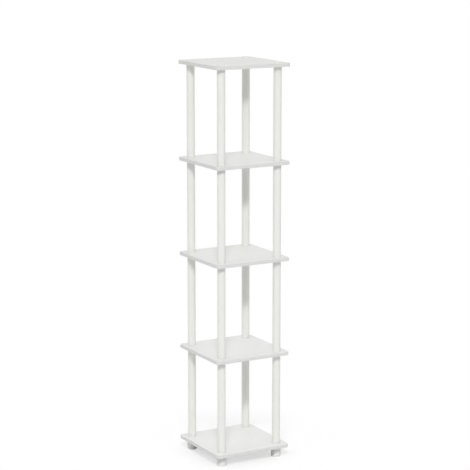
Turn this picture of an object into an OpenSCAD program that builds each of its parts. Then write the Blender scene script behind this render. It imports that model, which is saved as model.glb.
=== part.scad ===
// Square corner shelf: five boards stacked on round tubes that screw together through the boards.
// The middle of the shelf is at X 0, Y 0. It stands on Z 0, and its front looks along -Y.

/* [Boards] */
// Width and depth of a square board
board_w = 300; // [240:5:400]
// Thickness of a board
board_t = 13; // [10:0.5:19]
// Radius of a board's corners, seen from above
board_corner_r = 11; // [5:1:20]
// Rounding along the top and bottom edges of a board
board_edge_r = 1; // [0.5:0.25:2]
// Distance from a board's edge to the middle of a tube
tube_inset = 35; // [25:1:50]

/* [Tubes] */
// Length of a tube, which is the clear height of a bay
tube_len = 340; // [200:5:450]
// Outside diameter of a tube
tube_d = 29.5; // [27:0.5:34]
// Wall of a tube
tube_wall = 1.8; // [1.2:0.2:2.6]

/* [Plugs] */
// Length of a plug inside the end of a tube
plug_len = 26; // [22:1:34]
// Thickness of the web that closes a stud plug at the tube's end
plug_web = 3; // [2:0.5:5]
// Wall of the hollow part of a stud plug
plug_wall = 2.2; // [1.5:0.1:3]
// Clearance all round between a plug and the bore of its tube
plug_fit = 0.05; // [0:0.01:0.1]

/* [Screw] */
// Diameter over the threads of a stud
screw_d = 16; // [13:0.5:18]
// Distance from one thread to the next
screw_pitch = 3; // [2.5:0.25:4]
// Depth of a thread
screw_depth = 1.2; // [0.8:0.1:1.4]
// Length of stud that screws into the socket below the board
screw_reach = 15; // [12:1:18]
// Clearance all round between a stud and its socket
screw_fit = 0.3; // [0.2:0.05:0.4]
// Clearance all round between a stud and the hole in a board
hole_fit = 0.5; // [0.3:0.1:1]
// Free depth of a socket past the end of the stud in it
socket_spare = 3; // [2:0.5:4]

/* [Feet] */
// Diameter of a foot
foot_d = 36; // [34:0.5:42]
// Height of a foot
foot_h = 37; // [28:1:50]
// Wall of a foot's hollow skirt
foot_wall = 3; // [2:0.25:4]
// Thickness of the top of a foot, under the bottom board
foot_top = 4; // [3:0.5:6]
// Wall of the threaded boss in the middle of a foot
foot_boss_wall = 3; // [2.4:0.2:4]
// Thickness of the ribs between a foot's boss and its skirt
foot_rib = 2; // [1.5:0.25:3]
// Height of the underside of the ribs over the floor
foot_rib_lift = 6; // [3:0.5:9]
// Rounding of a foot's outer edge where it meets the floor
foot_edge_r = 1.2; // [0.4:0.1:1.6]

/* [Top caps] */
// Diameter of the caps that close the tubes on the top board
cap_d = 29.5; // [27:0.5:36]
// Thickness of a cap over the top board
cap_t = 3; // [2:0.25:5]
// Rounding of a cap's upper edge
cap_edge_r = 1.25; // [0.5:0.25:1.75]

/* [Colours] */
// Colour of the boards
board_colour = "whitesmoke"; // [whitesmoke, white, ivory]
// Colour of the tubes, feet and caps
tube_colour = "ivory"; // [ivory, white, whitesmoke]
// Colour of the plugs inside the tubes
plug_colour = "gainsboro"; // [gainsboro, white, silver]

/* [Hidden] */
$fn = 64;
BAYS = [1, 2, 3, 4];
BOARDS = ["bottom_board", "second_board", "middle_board", "fourth_board", "top_board"];
CORNERS = [["front_left", -1, -1], ["front_right", 1, -1], ["back_right", 1, 1], ["back_left", -1, 1]];

tube_offset = board_w / 2 - tube_inset;
tier_pitch = tube_len + board_t;
tube_bore_d = tube_d - 2 * tube_wall;
plug_d = tube_bore_d - 2 * plug_fit;
hole_d = screw_d + 2 * hole_fit;
screw_r = screw_d / 2;
root_r = screw_r - screw_depth;
thread_count = floor((screw_reach - screw_pitch) / screw_pitch) + 1;
thread_foot = 0.6 * screw_pitch;
thread_crest = 0.3 * screw_pitch;
socket_depth = screw_reach + socket_spare;
foot_boss_r = screw_r + screw_fit + foot_boss_wall;
overlap = 0.2;

function tube_name(bay, corner) = str("tube_bay", bay, "_", corner[0]);
function foot_name(corner) = str("foot_", corner[0]);
function cap_name(corner) = str("top_cap_", corner[0]);
function stud_plugs_name(bay) = str("stud_plugs_bay", bay);
function socket_plugs_name(bay) = str("socket_plugs_bay", bay);

// Height of the underside of board i, counted from 0 at the bottom
function board_z(i) = foot_h + i * tier_pitch;
// Height of the lower end of the tubes in a bay
function tube_z(bay) = board_z(bay - 1) + board_t;
// Middle of thread i, below the mouth of the socket that it screws into
function thread_z(i) = -(i + 0.5) * screw_pitch;

module at_corner(corner) {
  translate([corner[1] * tube_offset, corner[2] * tube_offset, 0]) children();
}

// One closed ridge of a screw thread, from radius foot_r to radius crest_r
module thread_ridge(foot_r, crest_r) {
  rotate_extrude()
    polygon([
      [foot_r, -thread_foot / 2],
      [crest_r, -thread_crest / 2],
      [crest_r, thread_crest / 2],
      [foot_r, thread_foot / 2]
    ]);
}

// A stud that hangs from a shoulder at Z 0, through a board and into the socket under it
module threaded_stud() {
  translate([0, 0, -board_t - screw_reach]) cylinder(r = root_r, h = board_t + screw_reach);
  translate([0, 0, -board_t])
    for (i = [0 : thread_count - 1])
      translate([0, 0, thread_z(i)]) thread_ridge(root_r - overlap, screw_r);
}

// The space of a blind socket whose mouth is at Z 0, with ridges left standing between the stud's
module threaded_socket() {
  difference() {
    translate([0, 0, -socket_depth]) cylinder(r = screw_r + screw_fit, h = socket_depth + overlap);
    for (i = [0 : thread_count - 2])
      translate([0, 0, thread_z(i + 0.5)])
        difference() {
          cylinder(r = screw_r + 2 * screw_fit, h = thread_foot, center = true);
          thread_groove();
        }
  }
}

// The bore past the crest of a socket's ridge, wider at both sides of the ridge
module thread_groove() {
  crest_r = root_r + screw_fit;
  foot_r = screw_r + screw_fit;
  rotate_extrude()
    polygon([
      [0, -thread_foot / 2 - overlap],
      [foot_r, -thread_foot / 2 - overlap],
      [foot_r, -thread_foot / 2],
      [crest_r, -thread_crest / 2],
      [crest_r, thread_crest / 2],
      [foot_r, thread_foot / 2],
      [foot_r, thread_foot / 2 + overlap],
      [0, thread_foot / 2 + overlap]
    ]);
}

// The section of a board's rim: from 0 out to reach, with both outer edges rounded
module rim_section(reach) {
  square([reach - board_edge_r, board_t]);
  translate([0, board_edge_r]) square([reach, board_t - 2 * board_edge_r]);
  for (z = [board_edge_r, board_t - board_edge_r])
    translate([reach - board_edge_r, z]) circle(r = board_edge_r);
}

module board(i) {
  flat = board_w - 2 * board_corner_r;
  color(board_colour) translate([0, 0, board_z(i)]) difference() {
    union() {
      translate([-flat / 2, -flat / 2, 0]) cube([flat, flat, board_t]);
      for (turn = [0 : 90 : 270]) rotate([0, 0, turn]) {
        translate([flat / 2, flat / 2, 0]) rotate_extrude(angle = 90) rim_section(board_corner_r);
        translate([flat / 2, flat / 2, 0])
          rotate([90, 0, 0]) linear_extrude(height = flat) rim_section(board_corner_r);
      }
    }
    for (corner = CORNERS)
      at_corner(corner) translate([0, 0, -overlap]) cylinder(d = hole_d, h = board_t + 2 * overlap);
  }
}

module tube(bay, corner) {
  color(tube_colour) at_corner(corner) translate([0, 0, tube_z(bay)]) difference() {
    cylinder(d = tube_d, h = tube_len);
    translate([0, 0, -overlap]) cylinder(d = tube_bore_d, h = tube_len + 2 * overlap);
  }
}

// The plug in the lower end of a tube: a hollow barrel and a stud, with the shoulder at Z 0
module stud_plug() {
  difference() {
    cylinder(d = plug_d, h = plug_len);
    translate([0, 0, plug_web]) cylinder(d = plug_d - 2 * plug_wall, h = plug_len);
  }
  threaded_stud();
}

// The plug in the upper end of a tube: a sleeve with a threaded socket, its mouth at Z 0
module socket_plug() {
  difference() {
    translate([0, 0, -plug_len]) cylinder(d = plug_d, h = plug_len);
    threaded_socket();
  }
}

module stud_plugs(bay) {
  color(plug_colour)
    for (corner = CORNERS) at_corner(corner) translate([0, 0, tube_z(bay)]) stud_plug();
}

module socket_plugs(bay) {
  color(plug_colour)
    for (corner = CORNERS) at_corner(corner) translate([0, 0, tube_z(bay) + tube_len]) socket_plug();
}

// A moulded foot: a hollow skirt, a threaded boss under its top and four ribs between them
module foot(corner) {
  boss_h = foot_h - foot_rib_lift;
  color(tube_colour) at_corner(corner) difference() {
    union() {
      difference() {
        rotate_extrude() foot_section();
        translate([0, 0, -overlap]) cylinder(r = foot_d / 2 - foot_wall, h = foot_h - foot_top + overlap);
      }
      translate([0, 0, foot_rib_lift]) cylinder(r = foot_boss_r, h = boss_h - foot_top + overlap);
      for (turn = [0, 90])
        rotate([0, 0, turn])
          translate([-foot_d / 2 + foot_wall / 2, -foot_rib / 2, foot_rib_lift])
            cube([foot_d - foot_wall, foot_rib, boss_h - foot_top + overlap]);
    }
    translate([0, 0, foot_h]) threaded_socket();
  }
}

// The outline of half a foot, with its lower outer edge rounded
module foot_section() {
  square([foot_d / 2 - foot_edge_r, foot_h]);
  translate([0, foot_edge_r]) square([foot_d / 2, foot_h - foot_edge_r]);
  translate([foot_d / 2 - foot_edge_r, foot_edge_r]) circle(r = foot_edge_r);
}

// A round cap that lies on the top board, with a stud down into the tube
module top_cap(corner) {
  color(tube_colour) at_corner(corner) translate([0, 0, board_z(len(BAYS)) + board_t]) {
    rotate_extrude() {
      square([cap_d / 2, cap_t - cap_edge_r]);
      square([cap_d / 2 - cap_edge_r, cap_t]);
      translate([cap_d / 2 - cap_edge_r, cap_t - cap_edge_r]) circle(r = cap_edge_r);
    }
    threaded_stud();
  }
}

for (i = [0 : len(BOARDS) - 1])
  board(i);
for (bay = BAYS, corner = CORNERS)
  tube(bay, corner);
for (corner = CORNERS)
  foot(corner);
for (corner = CORNERS)
  top_cap(corner);
for (bay = BAYS)
  stud_plugs(bay);
for (bay = BAYS)
  socket_plugs(bay);
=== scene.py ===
import math

import bmesh
import bpy
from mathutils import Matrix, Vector


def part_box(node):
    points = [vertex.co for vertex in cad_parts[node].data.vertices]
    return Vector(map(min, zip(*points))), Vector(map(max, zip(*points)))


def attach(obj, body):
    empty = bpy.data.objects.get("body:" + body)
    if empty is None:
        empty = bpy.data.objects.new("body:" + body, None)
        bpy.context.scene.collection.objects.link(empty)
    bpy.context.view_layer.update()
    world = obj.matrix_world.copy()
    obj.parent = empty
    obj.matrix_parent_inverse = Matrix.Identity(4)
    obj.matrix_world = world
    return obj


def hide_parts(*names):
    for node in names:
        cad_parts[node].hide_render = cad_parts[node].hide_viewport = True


# Square shelf of five foil boards on round tubes
# Sizes are in metres, the front looks along -Y, and the floor is Z 0
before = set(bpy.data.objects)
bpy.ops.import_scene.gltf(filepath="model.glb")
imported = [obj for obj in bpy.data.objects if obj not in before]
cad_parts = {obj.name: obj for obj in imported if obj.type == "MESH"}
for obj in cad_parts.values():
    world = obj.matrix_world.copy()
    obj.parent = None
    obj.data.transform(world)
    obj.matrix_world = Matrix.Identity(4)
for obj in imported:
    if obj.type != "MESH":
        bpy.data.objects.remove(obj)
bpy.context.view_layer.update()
print("frame loaded:", len(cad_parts), "nodes")

boardNodes = ["bottom_board", "second_board", "middle_board", "fourth_board", "top_board"]
cornerNames = ["front_left", "front_right", "back_right", "back_left"]
bayNumbers = [1, 2, 3, 4]  # from the floor up
roundSides = 96  # sides of each tube, foot and cap
weldDistance = 1e-6  # points closer than this become one
noiseSpread = (0.3, 0.7)  # most of a noise pattern lies between these
millimetre = 0.001


def camelName(nodeName):
    words = nodeName.split("_")
    return words[0] + "".join(word.capitalize() for word in words[1:])


def boxMiddle(nodeName):
    low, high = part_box(nodeName)
    return (low + high) / 2


# Short ways to add, link and calculate with nodes, in materials and in shapes
def newMaterial(name):
    material = bpy.data.materials.new(name)
    material.use_nodes = True
    return material, material.node_tree, material.node_tree.nodes["Principled BSDF"]


def addNode(tree, kind, settings=None, values=None):
    node = tree.nodes.new(kind)
    for key, value in (settings or {}).items():
        setattr(node, key, value)
    for socket, value in (values or {}).items():
        node.inputs[socket].default_value = value
    return node


def link(tree, source, target):
    tree.links.new(source, target)


def treeMath(tree, operation, first, second):
    node = addNode(tree, "ShaderNodeMath", {"operation": operation})
    for i, value in enumerate((first, second)):
        if isinstance(value, (int, float)):
            node.inputs[i].default_value = value
        else:
            link(tree, value, node.inputs[i])
    return node.outputs["Value"]


def average(tree, first, second):
    return treeMath(tree, "MULTIPLY", treeMath(tree, "ADD", first, second), 0.5)


# Noise on the piece's own coordinates: scale and stretch are in waves per metre
def noiseField(tree, seed, detail, roughness, scale=1.0, stretch=(1, 1, 1)):
    place = addNode(tree, "ShaderNodeTexCoord")
    mapping = addNode(tree, "ShaderNodeMapping", values={
        "Location": (seed, seed, seed),
        "Scale": stretch,
    })
    noise = addNode(tree, "ShaderNodeTexNoise", values={
        "Scale": scale,
        "Detail": detail,
        "Roughness": roughness,
    })
    link(tree, place.outputs["Object"], mapping.inputs["Vector"])
    link(tree, mapping.outputs["Vector"], noise.inputs["Vector"])
    return noise.outputs["Fac"]


def remap(tree, source, low, high, spread=noiseSpread):
    node = addNode(tree, "ShaderNodeMapRange", values={
        "From Min": spread[0],
        "From Max": spread[1],
        "To Min": low,
        "To Max": high,
    })
    link(tree, source, node.inputs["Value"])
    return node.outputs["Result"]


def blendColours(tree, factor, dark, light):
    node = addNode(tree, "ShaderNodeMix", {"data_type": "RGBA"})
    link(tree, factor, node.inputs["Factor"])
    for socket, colour in (("A", dark), ("B", light)):
        if isinstance(colour, tuple):
            node.inputs[socket].default_value = (*colour, 1)
        else:
            link(tree, colour, node.inputs[socket])
    return node.outputs["Result"]


def textured(tree, heightInMillimetres, shader):
    bump = addNode(tree, "ShaderNodeBump", values={"Strength": 1.0, "Distance": millimetre})
    link(tree, heightInMillimetres, bump.inputs["Height"])
    link(tree, bump.outputs["Normal"], shader.inputs["Normal"])


# Heights and depths of the texture are in millimetres, here and in the plastics below
boardFinish = {
    "lightWhite": (0.808, 0.805, 0.791),
    "darkWhite": (0.780, 0.778, 0.765),
    "poreShade": (0.660, 0.655, 0.635),
    # The band colours are darker than the faces, partly the band's own tone and partly painted
    # shade on the upright edges
    "bandLightToneWithPaintedShade": (0.737, 0.735, 0.724),
    "bandDarkToneWithPaintedShade": (0.713, 0.711, 0.701),
    "fibreHeight": 0.035,
    "poreDepth": 0.08,
    "pebbleHeight": 0.10,
    "roughness": (0.38, 0.54),
    "faceTilt": (0.55, 0.9),  # how far a surface faces up or down, from all band to all face
    "poreStreaks": (0.4, 0.6),  # the pores gather where the streaks are strong
    "fewestPores": 0.25,
    "porePits": (0.56, 0.66),  # only the peaks of the pits become pores
    "poreMark": 0.35,  # how much of the pore's shade is seen
    "streaks": {"seed": 3.7, "detail": 5.0, "roughness": 0.62, "stretch": (5.0, 130.0, 130.0)},
    "fibres": {"seed": 8.1, "detail": 3.0, "roughness": 0.55, "stretch": (25.0, 700.0, 700.0)},
    "pits": {"seed": 2.6, "detail": 1.0, "roughness": 0.4, "stretch": (110.0, 2100.0, 2100.0)},
    "pebble": {"seed": 1.3, "detail": 2.0, "roughness": 0.5, "scale": 1300.0},
    "cloud": {"seed": 5.9, "detail": 2.0, "roughness": 0.5, "scale": 9.0},
}


# White foil with a pressed grain on the faces, and a pebbled band round the rim, darker than the
# faces partly as its own tone and partly as painted shade on the upright edges
def boardFoil():
    material, tree, shader = newMaterial("boardFoil")
    streaks = noiseField(tree, **boardFinish["streaks"])
    fibres = noiseField(tree, **boardFinish["fibres"])
    pits = noiseField(tree, **boardFinish["pits"])
    pebble = noiseField(tree, **boardFinish["pebble"])
    cloud = noiseField(tree, **boardFinish["cloud"])

    facing = addNode(tree, "ShaderNodeNewGeometry")
    split = addNode(tree, "ShaderNodeSeparateXYZ")
    link(tree, facing.outputs["Normal"], split.inputs["Vector"])
    upOrDown = treeMath(tree, "ABSOLUTE", split.outputs["Z"], 0)
    onFace = remap(tree, upOrDown, 0, 1, boardFinish["faceTilt"])
    rich = remap(tree, streaks, boardFinish["fewestPores"], 1, boardFinish["poreStreaks"])
    pores = treeMath(tree, "MULTIPLY", remap(tree, pits, 0, 1, boardFinish["porePits"]), rich)
    pores = treeMath(tree, "MULTIPLY", pores, onFace)

    raised = treeMath(tree, "MULTIPLY", fibres, boardFinish["fibreHeight"])
    pressed = treeMath(tree, "MULTIPLY", pores, boardFinish["poreDepth"])
    faceHeight = treeMath(tree, "SUBTRACT", raised, pressed)
    bandHeight = treeMath(tree, "MULTIPLY", pebble, boardFinish["pebbleHeight"])
    height = addNode(tree, "ShaderNodeMix", {"data_type": "FLOAT"})
    link(tree, onFace, height.inputs["Factor"])
    link(tree, bandHeight, height.inputs["A"])
    link(tree, faceHeight, height.inputs["B"])
    textured(tree, height.outputs["Result"], shader)

    shade = remap(tree, average(tree, streaks, cloud), 0, 1)
    faceColour = blendColours(tree, shade, boardFinish["darkWhite"], boardFinish["lightWhite"])
    # Painted shade: the upright band is coloured darker than the faces that face up or down
    bandToneWithPaintedShade = blendColours(tree, shade, boardFinish["bandDarkToneWithPaintedShade"], boardFinish["bandLightToneWithPaintedShade"])
    wholeColour = blendColours(tree, onFace, bandToneWithPaintedShade, faceColour)
    poreMark = treeMath(tree, "MULTIPLY", pores, boardFinish["poreMark"])
    colour = blendColours(tree, poreMark, wholeColour, boardFinish["poreShade"])
    link(tree, colour, shader.inputs["Base Color"])
    link(tree, remap(tree, fibres, *boardFinish["roughness"]), shader.inputs["Roughness"])
    return material


tubeFinish = {
    "lightWhite": (0.836, 0.841, 0.800),
    "darkWhite": (0.816, 0.821, 0.778),
    "lineHeight": 0.04,
    "rippleHeight": 0.12,
    "roughness": (0.32, 0.46),
    "drawLines": {"seed": 2.2, "detail": 3.0, "roughness": 0.6, "stretch": (1300.0, 1300.0, 5.0)},
    "ripple": {"seed": 6.4, "detail": 2.0, "roughness": 0.5, "stretch": (45.0, 45.0, 9.0)},
}


# Drawn plastic: fine lines run up the tube, over a slow ripple
def tubePlastic():
    material, tree, shader = newMaterial("tubePlastic")
    drawLines = noiseField(tree, **tubeFinish["drawLines"])
    ripple = noiseField(tree, **tubeFinish["ripple"])
    lines = treeMath(tree, "MULTIPLY", drawLines, tubeFinish["lineHeight"])
    swell = treeMath(tree, "MULTIPLY", ripple, tubeFinish["rippleHeight"])
    textured(tree, treeMath(tree, "ADD", lines, swell), shader)
    shade = remap(tree, average(tree, ripple, drawLines), 0, 1)
    colour = blendColours(tree, shade, tubeFinish["darkWhite"], tubeFinish["lightWhite"])
    link(tree, colour, shader.inputs["Base Color"])
    link(tree, remap(tree, drawLines, *tubeFinish["roughness"]), shader.inputs["Roughness"])
    return material


# The feet and caps
mouldedFinish = {
    "lightWhite": (0.828, 0.833, 0.797),
    "darkWhite": (0.804, 0.809, 0.770),
    "sparkHeight": 0.10,
    "roughness": (0.40, 0.56),
    "spark": {"seed": 4.5, "detail": 2.0, "roughness": 0.55, "scale": 1500.0},
    "flow": {
        "seed": 9.3,
        "detail": 2.0,
        "roughness": 0.5,
        "scale": 38.0,
        "stretch": (1.0, 1.0, 0.4),
    },
}

# The plugs inside the tubes
plugFinish = {
    "lightWhite": (0.735, 0.735, 0.715),
    "darkWhite": (0.700, 0.700, 0.678),
    "sparkHeight": 0.12,
    "roughness": (0.48, 0.62),
    "spark": {"seed": 4.5, "detail": 2.0, "roughness": 0.55, "scale": 1100.0},
    "flow": {
        "seed": 9.3,
        "detail": 2.0,
        "roughness": 0.5,
        "scale": 60.0,
        "stretch": (1.0, 1.0, 0.4),
    },
}


# Moulded plastic: the fine spark texture of the mould, and faint clouds where the plastic flowed
def mouldedPlastic(name, finish):
    material, tree, shader = newMaterial(name)
    spark = noiseField(tree, **finish["spark"])
    flow = noiseField(tree, **finish["flow"])
    textured(tree, treeMath(tree, "MULTIPLY", spark, finish["sparkHeight"]), shader)
    colour = blendColours(tree, remap(tree, flow, 0, 1), finish["darkWhite"], finish["lightWhite"])
    link(tree, colour, shader.inputs["Base Color"])
    link(tree, remap(tree, spark, *finish["roughness"]), shader.inputs["Roughness"])
    return material


foilWhite = boardFoil()
tubeWhite = tubePlastic()
mouldedWhite = mouldedPlastic("mouldedPlastic", mouldedFinish)
plugWhite = mouldedPlastic("plugPlastic", plugFinish)
print("materials made")

# How each mesh is shaded
shadeValues = {
    "sharpDegrees": 35,  # an edge that turns by more stays sharp
    "flatWeight": 80,  # how far the large faces pull the normals at an edge
}


def linkMesh(name, mesh):
    piece = bpy.data.objects.new(name, mesh)
    bpy.context.scene.collection.objects.link(piece)
    return piece


def arcPoints(centreX, centreY, radius, startDegrees, endDegrees, steps):
    points = []
    for step in range(steps + 1):
        angle = math.radians(startDegrees + (endDegrees - startDegrees) * step / steps)
        points.append((centreX + radius * math.cos(angle), centreY + radius * math.sin(angle)))
    return points


def bakeModifiers(piece):
    depsgraph = bpy.context.evaluated_depsgraph_get()
    mesh = bpy.data.meshes.new_from_object(piece.evaluated_get(depsgraph), depsgraph=depsgraph)
    piece.modifiers.clear()
    piece.data = mesh
    return mesh


# Close the mesh, turn its faces outwards, shade it, and put it in the place of its solid
def finishPiece(piece, nodeName, material):
    mesh = piece.data
    shell = bmesh.new()
    shell.from_mesh(mesh)
    bmesh.ops.remove_doubles(shell, verts=shell.verts, dist=weldDistance)
    bmesh.ops.recalc_face_normals(shell, faces=shell.faces)
    shell.to_mesh(mesh)
    shell.free()
    mesh.materials.clear()
    mesh.materials.append(material)
    mesh.shade_smooth()
    mesh.set_sharp_from_angle(angle=math.radians(shadeValues["sharpDegrees"]))
    weighted = piece.modifiers.new("weightedNormals", "WEIGHTED_NORMAL")
    weighted.keep_sharp = True
    weighted.weight = shadeValues["flatWeight"]
    mesh = bakeModifiers(piece)
    mesh.name = piece.name
    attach(piece, "root")
    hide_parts(nodeName)


boardValues = {
    "width": 0.300,
    "thickness": 0.013,
    "cornerRadius": 0.011,
    "edgeRadius": 0.001,
    "bandJointWidth": 0.00025,  # the fine line between foil and edge band
    "bandJointDepth": 0.00009,
    "bandSeamWidth": 0.0003,  # where the two ends of the band meet
    "bandSeamDepth": 0.00011,
    "holeInset": 0.035,
    "holeDiameter": 0.017,
    "cornerSteps": 12,
    "edgeSteps": 4,
    "holeSides": 48,
}


# The seam of the edge band is in the middle of the back
def bandSeam(back, onBand):
    reach = boardValues["bandSeamWidth"] / 2
    depth = boardValues["bandSeamDepth"] if onBand else 0
    return [(reach, back), (0, back - depth), (-reach, back)]


# The board's outline, counter-clockwise from the right side
def squareOutline(inset):
    half = boardValues["width"] / 2
    radius = boardValues["cornerRadius"]
    middle = half - radius
    steps = boardValues["cornerSteps"]
    outline = []
    for turn, (signX, signY) in enumerate(((1, 1), (-1, 1), (-1, -1), (1, -1))):
        x, y = signX * middle, signY * middle
        start = 90 * turn
        outline += arcPoints(x, y, radius - inset, start, start + 90, steps)
        if turn == 0:
            outline += bandSeam(half - inset, inset <= boardValues["edgeRadius"])
    return outline


# Steps over the rim as (inset, height), from the joint line below to the one above
def boardRim():
    thickness = boardValues["thickness"]
    edge = boardValues["edgeRadius"]
    joint = boardValues["bandJointWidth"]
    depth = boardValues["bandJointDepth"]
    arc = arcPoints(0, 0, edge, -90, 0, boardValues["edgeSteps"])
    lower = [(edge - x, edge + z) for x, z in arc]
    half = [(edge + joint, 0), (edge + joint / 2, depth)] + lower
    return half + [(inset, thickness - z) for inset, z in reversed(half)]


def rimRings(shell, base):
    rings = []
    for inset, height in boardRim():
        rings.append([shell.verts.new((x, y, base + height)) for x, y in squareOutline(inset)])
    for lower, upper in zip(rings, rings[1:]):
        for i in range(len(lower)):
            j = (i + 1) % len(lower)
            shell.faces.new((lower[i], lower[j], upper[j], upper[i]))
    return rings


# The holes that the studs go through
def holeRings(shell, base):
    reach = boardValues["width"] / 2 - boardValues["holeInset"]
    radius = boardValues["holeDiameter"] / 2
    sides = boardValues["holeSides"]
    pairs = []
    for signX, signY in ((-1, -1), (-1, 1), (1, -1), (1, 1)):
        circle = arcPoints(signX * reach, signY * reach, radius, 0, 360, sides)[:-1]
        lower, upper = [
            [shell.verts.new((x, y, base + height)) for x, y in circle]
            for height in (0, boardValues["thickness"])
        ]
        for i in range(sides):
            j = (i + 1) % sides
            shell.faces.new((lower[i], upper[i], upper[j], lower[j]))
        pairs.append((lower, upper))
    return pairs


def fillFace(shell, loops):
    edges = []
    for loop in loops:
        for i in range(len(loop)):
            ends = (loop[i], loop[(i + 1) % len(loop)])
            edges.append(shell.edges.get(ends) or shell.edges.new(ends))
    bmesh.ops.triangle_fill(shell, edges=edges, use_beauty=True)


def boardShell(name, base):
    shell = bmesh.new()
    rings = rimRings(shell, base)
    pairs = holeRings(shell, base)
    fillFace(shell, [rings[0]] + [lower for lower, upper in pairs])
    fillFace(shell, [rings[-1]] + [upper for lower, upper in pairs])
    mesh = bpy.data.meshes.new(name)
    shell.to_mesh(mesh)
    shell.free()
    return linkMesh(name, mesh)


for nodeName in boardNodes:
    board = boardShell(camelName(nodeName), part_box(nodeName)[0].z)
    finishPiece(board, nodeName, foilWhite)
print("boards made:", len(boardNodes))


# A geometry tree with named inputs, and the piece that it makes as a plain mesh
def newTree(name, inputs):
    tree = bpy.data.node_groups.new(name, "GeometryNodeTree")
    sockets = {}
    for label, kind in [("Geometry", "Geometry")] + inputs:
        kindName = "NodeSocket" + kind
        sockets[label] = tree.interface.new_socket(label, in_out="INPUT", socket_type=kindName)
    tree.interface.new_socket("Geometry", in_out="OUTPUT", socket_type="NodeSocketGeometry")
    return tree, sockets, addNode(tree, "NodeGroupInput"), addNode(tree, "NodeGroupOutput")


def runTree(name, mesh, tree, sockets, values):
    piece = linkMesh(name, mesh)
    modifier = piece.modifiers.new("shape", "NODES")
    modifier.node_group = tree
    for label, value in values.items():
        modifier[sockets[label].identifier] = value
    bakeModifiers(piece)
    return piece


# Every tree ends in the piece's place and material
def endTree(tree, geometry, given, output):
    place = addNode(tree, "GeometryNodeTransform")
    link(tree, geometry, place.inputs["Geometry"])
    link(tree, given.outputs["Place"], place.inputs["Translation"])
    realize = addNode(tree, "GeometryNodeRealizeInstances")
    link(tree, place.outputs["Geometry"], realize.inputs["Geometry"])
    dress = addNode(tree, "GeometryNodeSetMaterial")
    link(tree, realize.outputs["Geometry"], dress.inputs["Geometry"])
    link(tree, given.outputs["Finish"], dress.inputs["Material"])
    link(tree, dress.outputs["Geometry"], output.inputs["Geometry"])


tubeValues = {
    "Outside Diameter": 0.0295,
    "Wall": 0.0018,
    "Length": 0.340,
    "End Ease": 0.0004,
    "Ease Steps": 3,
    "Sides": roundSides,
}


# The wall's section, eased at its corners, goes once round the tube
def tubeTree():
    tree, sockets, given, output = newTree("tubeShape", [
        ("Outside Diameter", "Float"),
        ("Wall", "Float"),
        ("Length", "Float"),
        ("End Ease", "Float"),
        ("Ease Steps", "Int"),
        ("Sides", "Int"),
        ("Place", "Vector"),
        ("Finish", "Material"),
    ])
    section = addNode(tree, "GeometryNodeCurvePrimitiveQuadrilateral")
    link(tree, given.outputs["Wall"], section.inputs["Width"])
    link(tree, given.outputs["Length"], section.inputs["Height"])
    eased = addNode(tree, "GeometryNodeFilletCurve", {"mode": "POLY"})
    link(tree, section.outputs["Curve"], eased.inputs["Curve"])
    link(tree, given.outputs["End Ease"], eased.inputs["Radius"])
    link(tree, given.outputs["Ease Steps"], eased.inputs["Count"])
    outside = given.outputs["Outside Diameter"]
    wallMiddle = treeMath(tree, "SUBTRACT", outside, given.outputs["Wall"])
    ring = addNode(tree, "GeometryNodeCurvePrimitiveCircle")
    link(tree, given.outputs["Sides"], ring.inputs["Resolution"])
    link(tree, treeMath(tree, "MULTIPLY", wallMiddle, 0.5), ring.inputs["Radius"])
    sweep = addNode(tree, "GeometryNodeCurveToMesh")
    link(tree, ring.outputs["Curve"], sweep.inputs["Curve"])
    link(tree, eased.outputs["Curve"], sweep.inputs["Profile Curve"])
    endTree(tree, sweep.outputs["Mesh"], given, output)
    return tree, sockets


tubeShape, tubeSockets = tubeTree()
for bay in bayNumbers:
    for corner in cornerNames:
        nodeName = f"tube_bay{bay}_{corner}"
        values = dict(tubeValues, Place=boxMiddle(nodeName), Finish=tubeWhite)
        start = bpy.data.meshes.new("start")
        tube = runTree(camelName(nodeName), start, tubeShape, tubeSockets, values)
        finishPiece(tube, nodeName, tubeWhite)
print("tubes made:", len(bayNumbers) * len(cornerNames))

screwValues = {
    "diameter": 0.016,
    "pitch": 0.003,
    "depth": 0.0012,
    "fit": 0.0003,  # room between stud and socket
    "reach": 0.015,
    "spare": 0.003,  # the socket is deeper than the stud is long
    "threads": 5,
    "rootShare": 0.3,  # half the width of a thread at its foot and at its crest, in pitches
    "crestShare": 0.15,
}

footValues = {
    "diameter": 0.036,
    "height": 0.037,
    "wall": 0.003,
    "top": 0.004,
    "bossRadius": 0.0113,
    "bossLift": 0.006,
    "floorEdge": 0.0012,
    "topEdge": 0.0005,
    "edgeSteps": 5,
}

ribValues = {
    "Rib Count": 4,
    "Rib Thickness": 0.002,
    "Rib Lift": 0.006,
    "Rib Height": 0.0272,
    "Rib Inner Radius": 0.0105,
    "Rib Outer Radius": 0.0158,
}

capValues = {
    "diameter": 0.0295,
    "thickness": 0.003,
    "edge": 0.00125,
    "crown": 0.0002,
    "crownLine": [(0.35, 0.15), (0.65, 0.5)],  # shares of the radius and of the fall
    "edgeSteps": 6,
}

spinRadius = 0.001  # a section moves in by this much and goes round a circle of this radius


# The sections below are lists of (distance from the axis, height)
def threadRidge(base, crest, middle):
    rootReach = screwValues["rootShare"] * screwValues["pitch"]
    crestReach = screwValues["crestShare"] * screwValues["pitch"]
    return [
        (base, middle + rootReach),
        (crest, middle + crestReach),
        (crest, middle - crestReach),
        (base, middle - rootReach),
    ]


def socketSection(top):
    crest = screwValues["diameter"] / 2 - screwValues["depth"] + screwValues["fit"]
    bore = screwValues["diameter"] / 2 + screwValues["fit"]
    points = [(bore, top)]
    for i in range(screwValues["threads"] - 1):
        points += threadRidge(bore, crest, top - (i + 1) * screwValues["pitch"])
    depth = screwValues["reach"] + screwValues["spare"]
    return points + [(bore, top - depth), (0, top - depth)]


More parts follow.
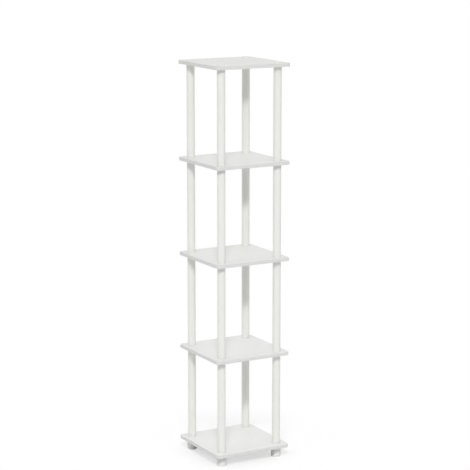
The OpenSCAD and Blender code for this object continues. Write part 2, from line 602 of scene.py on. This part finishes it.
def studSection(top):
    root = screwValues["diameter"] / 2 - screwValues["depth"]
    crest = screwValues["diameter"] / 2
    mouth = top - boardValues["thickness"]
    points = [(root, top)]
    for i in range(screwValues["threads"]):
        points += threadRidge(root, crest, mouth - (i + 0.5) * screwValues["pitch"])
    end = mouth - screwValues["reach"]
    return points + [(root, end), (0, end)]


def footSection():
    outer = footValues["diameter"] / 2
    inner = outer - footValues["wall"]
    boss = footValues["bossRadius"]
    height = footValues["height"]
    floorEdge = footValues["floorEdge"]
    topEdge = footValues["topEdge"]
    steps = footValues["edgeSteps"]
    ceiling = height - footValues["top"]
    points = [(0, footValues["bossLift"]), (boss, footValues["bossLift"])]
    points += [(boss, ceiling), (inner, ceiling), (inner, 0)]
    points += arcPoints(outer - floorEdge, floorEdge, floorEdge, -90, 0, steps)
    points += arcPoints(outer - topEdge, height - topEdge, topEdge, 0, 90, steps)
    return points + socketSection(height)


def capSection():
    outer = capValues["diameter"] / 2
    thickness = capValues["thickness"]
    crown = capValues["crown"]
    edge = capValues["edge"]
    shoulder = thickness - crown
    points = [(0, thickness)]
    points += [(outer * reach, thickness - crown * fall) for reach, fall in capValues["crownLine"]]
    points += arcPoints(outer - edge, shoulder - edge, edge, 90, 0, capValues["edgeSteps"])
    return points + [(outer, 0)] + studSection(0)


def sectionMesh(points):
    mesh = bpy.data.meshes.new("section")
    edges = [(i, i + 1) for i in range(len(points) - 1)]
    mesh.from_pydata([(x, 0, z) for x, z in points], edges, [])
    return mesh


# The section turns round its axis, and ribs join the shell where there are any
def turnedTree():
    tree, sockets, given, output = newTree("turnedShape", [
        ("Sides", "Int"),
        ("Rib Count", "Int"),
        ("Rib Thickness", "Float"),
        ("Rib Lift", "Float"),
        ("Rib Height", "Float"),
        ("Rib Inner Radius", "Float"),
        ("Rib Outer Radius", "Float"),
        ("Place", "Vector"),
        ("Finish", "Material"),
    ])
    outline = addNode(tree, "GeometryNodeMeshToCurve")
    link(tree, given.outputs["Geometry"], outline.inputs["Mesh"])
    flat = addNode(tree, "GeometryNodeTransform", values={
        "Translation": (-spinRadius, 0, 0),
        "Rotation": (math.pi / 2, 0, 0),
    })
    link(tree, outline.outputs["Curve"], flat.inputs["Geometry"])
    ring = addNode(tree, "GeometryNodeCurvePrimitiveCircle", values={"Radius": spinRadius})
    link(tree, given.outputs["Sides"], ring.inputs["Resolution"])
    spin = addNode(tree, "GeometryNodeCurveToMesh")
    link(tree, ring.outputs["Curve"], spin.inputs["Curve"])
    link(tree, flat.outputs["Geometry"], spin.inputs["Profile Curve"])
    closed = addNode(tree, "GeometryNodeMergeByDistance", values={"Distance": weldDistance})
    link(tree, spin.outputs["Mesh"], closed.inputs["Geometry"])

    ribInner = given.outputs["Rib Inner Radius"]
    ribOuter = given.outputs["Rib Outer Radius"]
    halfHeight = treeMath(tree, "MULTIPLY", given.outputs["Rib Height"], 0.5)
    ribSize = addNode(tree, "ShaderNodeCombineXYZ")
    link(tree, treeMath(tree, "SUBTRACT", ribOuter, ribInner), ribSize.inputs["X"])
    link(tree, given.outputs["Rib Thickness"], ribSize.inputs["Y"])
    link(tree, given.outputs["Rib Height"], ribSize.inputs["Z"])
    rib = addNode(tree, "GeometryNodeMeshCube")
    link(tree, ribSize.outputs["Vector"], rib.inputs["Size"])
    lift = addNode(tree, "ShaderNodeCombineXYZ")
    link(tree, treeMath(tree, "ADD", given.outputs["Rib Lift"], halfHeight), lift.inputs["Z"])
    ribRing = addNode(tree, "GeometryNodeMeshCircle")
    link(tree, given.outputs["Rib Count"], ribRing.inputs["Vertices"])
    link(tree, average(tree, ribOuter, ribInner), ribRing.inputs["Radius"])
    outward = addNode(tree, "FunctionNodeAlignRotationToVector", {"axis": "X"})
    position = addNode(tree, "GeometryNodeInputPosition")
    link(tree, position.outputs["Position"], outward.inputs["Vector"])
    ribs = addNode(tree, "GeometryNodeInstanceOnPoints")
    link(tree, ribRing.outputs["Mesh"], ribs.inputs["Points"])
    link(tree, rib.outputs["Mesh"], ribs.inputs["Instance"])
    link(tree, outward.outputs["Rotation"], ribs.inputs["Rotation"])
    raised = addNode(tree, "GeometryNodeTransform")
    link(tree, ribs.outputs["Instances"], raised.inputs["Geometry"])
    link(tree, lift.outputs["Vector"], raised.inputs["Translation"])
    ribMesh = addNode(tree, "GeometryNodeRealizeInstances")
    link(tree, raised.outputs["Geometry"], ribMesh.inputs["Geometry"])
    joined = addNode(tree, "GeometryNodeMeshBoolean", {"operation": "UNION", "solver": "EXACT"})
    link(tree, closed.outputs["Geometry"], joined.inputs["Mesh 2"])
    link(tree, ribMesh.outputs["Geometry"], joined.inputs["Mesh 2"])

    ribbed = addNode(tree, "GeometryNodeSwitch", {"input_type": "GEOMETRY"})
    hasRibs = addNode(tree, "FunctionNodeCompare", {
        "data_type": "INT",
        "operation": "GREATER_THAN",
    })
    link(tree, given.outputs["Rib Count"], hasRibs.inputs[2])  # the first whole-number input
    link(tree, hasRibs.outputs["Result"], ribbed.inputs["Switch"])
    link(tree, closed.outputs["Geometry"], ribbed.inputs["False"])
    link(tree, joined.outputs["Mesh"], ribbed.inputs["True"])
    endTree(tree, ribbed.outputs["Output"], given, output)
    return tree, sockets


turnedShape, turnedSockets = turnedTree()


def turnedPiece(nodeName, section, base, shapeValues):
    middle = boxMiddle(nodeName)
    place = (middle.x, middle.y, base)
    values = dict(shapeValues, Sides=roundSides, Place=place, Finish=mouldedWhite)
    piece = runTree(camelName(nodeName), sectionMesh(section), turnedShape, turnedSockets, values)
    finishPiece(piece, nodeName, mouldedWhite)


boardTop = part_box("top_board")[1].z
for corner in cornerNames:
    turnedPiece(f"foot_{corner}", footSection(), 0, ribValues)
    turnedPiece(f"top_cap_{corner}", capSection(), boardTop, {"Rib Count": 0})
print("feet and caps made:", 2 * len(cornerNames))

# The plugs stay as they are in the frame, and only get their material
for bay in bayNumbers:
    for nodeName in (f"stud_plugs_bay{bay}", f"socket_plugs_bay{bay}"):
        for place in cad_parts[nodeName].material_slots:
            place.material = plugWhite
print("plugs dressed:", 2 * len(bayNumbers))

floorValues = {
    "size": 120.0,
    "drop": 0.0001,  # just under the feet
    "paint": 0.84,  # how much light the floor throws back
    "shadowShare": 0.42,  # how much of the shadow is seen
    "shadowReach": (0.18, 0.6),  # the shadow fades out between these distances
}

# Strength of the sky by its height: 0 is the horizon and 1 is straight up
skyValues = {
    "peak": 1.4,
    "ring": [
        (0, 0.10),
        (0.15, 0.07),
        (0.3, 0.17),
        (0.45, 0.83),
        (0.58, 1.33),
        (0.68, 1.38),
        (0.77, 1.07),
        (0.86, 0.56),
        (1, 0),
    ],
}

keyValues = {
    "turn": -30.0,
    "distance": 3.3,
    "height": 3.05,
    "width": 0.8,
    "depth": 0.3,
    "power": 4.0,
    "aimHeight": 0.75,
}


# 1 for rays from the camera, gloss and glass, which see white, and 0 for those that gather light
def seenWhite(tree):
    path = addNode(tree, "ShaderNodeLightPath")
    seen = treeMath(tree, "MAXIMUM", path.outputs["Is Camera Ray"], path.outputs["Is Glossy Ray"])
    return treeMath(tree, "MAXIMUM", seen, path.outputs["Is Transmission Ray"])


def mixShaders(tree, factor, first, second):
    mix = addNode(tree, "ShaderNodeMixShader")
    link(tree, factor, mix.inputs["Fac"])
    link(tree, first, mix.inputs[1])
    link(tree, second, mix.inputs[2])
    return mix.outputs["Shader"]


# White with the shelf's shadow close round it, and clear from below to show the underside
def floorMaterial():
    material = bpy.data.materials.new("paleFloor")
    material.use_nodes = True
    tree = material.node_tree
    tree.nodes.clear()
    paint = floorValues["paint"]
    painted = addNode(tree, "ShaderNodeBsdfDiffuse", values={"Color": (paint, paint, paint, 1)})
    white = addNode(tree, "ShaderNodeBsdfDiffuse", values={"Color": (1, 1, 1, 1)})
    glow = addNode(tree, "ShaderNodeEmission", values={"Color": (1, 1, 1, 1), "Strength": 1.0})
    clear = addNode(tree, "ShaderNodeBsdfTransparent")
    place = addNode(tree, "ShaderNodeTexCoord")
    away = addNode(tree, "ShaderNodeVectorMath", {"operation": "LENGTH"})
    link(tree, place.outputs["Object"], away.inputs[0])
    distance = away.outputs["Value"]
    share = remap(tree, distance, floorValues["shadowShare"], 0, floorValues["shadowReach"])
    seen = mixShaders(tree, share, glow.outputs["Emission"], white.outputs["BSDF"])
    upper = mixShaders(tree, seenWhite(tree), painted.outputs["BSDF"], seen)
    side = addNode(tree, "ShaderNodeNewGeometry")
    whole = mixShaders(tree, side.outputs["Backfacing"], upper, clear.outputs["BSDF"])
    output = addNode(tree, "ShaderNodeOutputMaterial")
    link(tree, whole, output.inputs["Surface"])
    return material


def studioFloor():
    half = floorValues["size"] / 2
    height = -floorValues["drop"]
    corners = [(x * half, y * half, height) for x, y in ((-1, -1), (1, -1), (1, 1), (-1, 1))]
    mesh = bpy.data.meshes.new("studioFloor")
    mesh.from_pydata(corners, [], [(0, 1, 2, 3)])
    mesh.materials.append(floorMaterial())
    floor = linkMesh("studioFloor", mesh)


def skyRing(tree, height):
    points = skyValues["ring"]
    ramp = addNode(tree, "ShaderNodeFloatCurve")
    curve = ramp.mapping.curves[0]
    for place, strength in points[1:-1]:
        curve.points.new(place, strength / skyValues["peak"])
    for end in (0, -1):
        curve.points[end].location = (points[end][0], points[end][1] / skyValues["peak"])
    for point in curve.points:
        point.handle_type = "VECTOR"
    ramp.mapping.update()
    link(tree, height, ramp.inputs["Value"])
    return treeMath(tree, "MULTIPLY", ramp.outputs["Value"], skyValues["peak"])


def studioWorld():
    world = bpy.data.worlds.new("whiteStudio")
    world.use_nodes = True
    tree = world.node_tree
    tree.nodes.clear()
    place = addNode(tree, "ShaderNodeTexCoord")
    split = addNode(tree, "ShaderNodeSeparateXYZ")
    link(tree, place.outputs["Generated"], split.inputs["Vector"])
    sky = addNode(tree, "ShaderNodeBackground", values={"Color": (1, 1, 1, 1)})
    link(tree, skyRing(tree, split.outputs["Z"]), sky.inputs["Strength"])
    white = addNode(tree, "ShaderNodeBackground", values={"Color": (1, 1, 1, 1), "Strength": 1.0})
    lit, seen = sky.outputs["Background"], white.outputs["Background"]
    whole = mixShaders(tree, seenWhite(tree), lit, seen)
    output = addNode(tree, "ShaderNodeOutputWorld")
    link(tree, whole, output.inputs["Surface"])
    bpy.context.scene.world = world


# One soft lamp at the upper left front, equally strong at every distance
def keyLight():
    lamp = bpy.data.lights.new("keyLight", "AREA")
    lamp.shape = "RECTANGLE"
    lamp.size = keyValues["width"]
    lamp.size_y = keyValues["depth"]
    lamp.energy = keyValues["power"]
    lamp.use_nodes = True
    tree = lamp.node_tree
    even = addNode(tree, "ShaderNodeLightFalloff", values={"Strength": 1.0})
    link(tree, even.outputs["Constant"], tree.nodes["Emission"].inputs["Strength"])
    holder = bpy.data.objects.new("keyLight", lamp)
    holder.visible_glossy = False  # no glare on the boards when they are seen against the light
    turn = math.radians(keyValues["turn"])
    reach = keyValues["distance"]
    holder.location = (math.sin(turn) * reach, -math.cos(turn) * reach, keyValues["height"])
    aim = Vector((0, 0, keyValues["aimHeight"])) - holder.location
    holder.rotation_euler = aim.to_track_quat("-Z", "Y").to_euler()
    bpy.context.scene.collection.objects.link(holder)


studioFloor()
studioWorld()
keyLight()
bpy.context.scene.view_settings.view_transform = "Standard"
print("stage made")

cameraValues = {
    "lens": 133.28,
    "sensor": 36.0,
    "turn": -29.16,
    "distance": 6.2456,
    "sideways": 0.0044,
    "height": 2.0392,
    "tilt": 10.98,
    "clipEnd": 400.0,
}


def photoCamera():
    lens = bpy.data.cameras.new("photoCamera")
    lens.lens = cameraValues["lens"]
    lens.sensor_width = cameraValues["sensor"]
    lens.clip_end = cameraValues["clipEnd"]
    holder = bpy.data.objects.new("photoCamera", lens)
    turn = math.radians(cameraValues["turn"])
    forward = Vector((-math.sin(turn), math.cos(turn), 0))
    right = Vector((math.cos(turn), math.sin(turn), 0))
    holder.location = right * cameraValues["sideways"] - forward * cameraValues["distance"]
    holder.location.z = cameraValues["height"]
    holder.rotation_euler = (math.radians(90 - cameraValues["tilt"]), 0, turn)
    bpy.context.scene.collection.objects.link(holder)
    bpy.context.scene.camera = holder


photoCamera()
print("camera set")
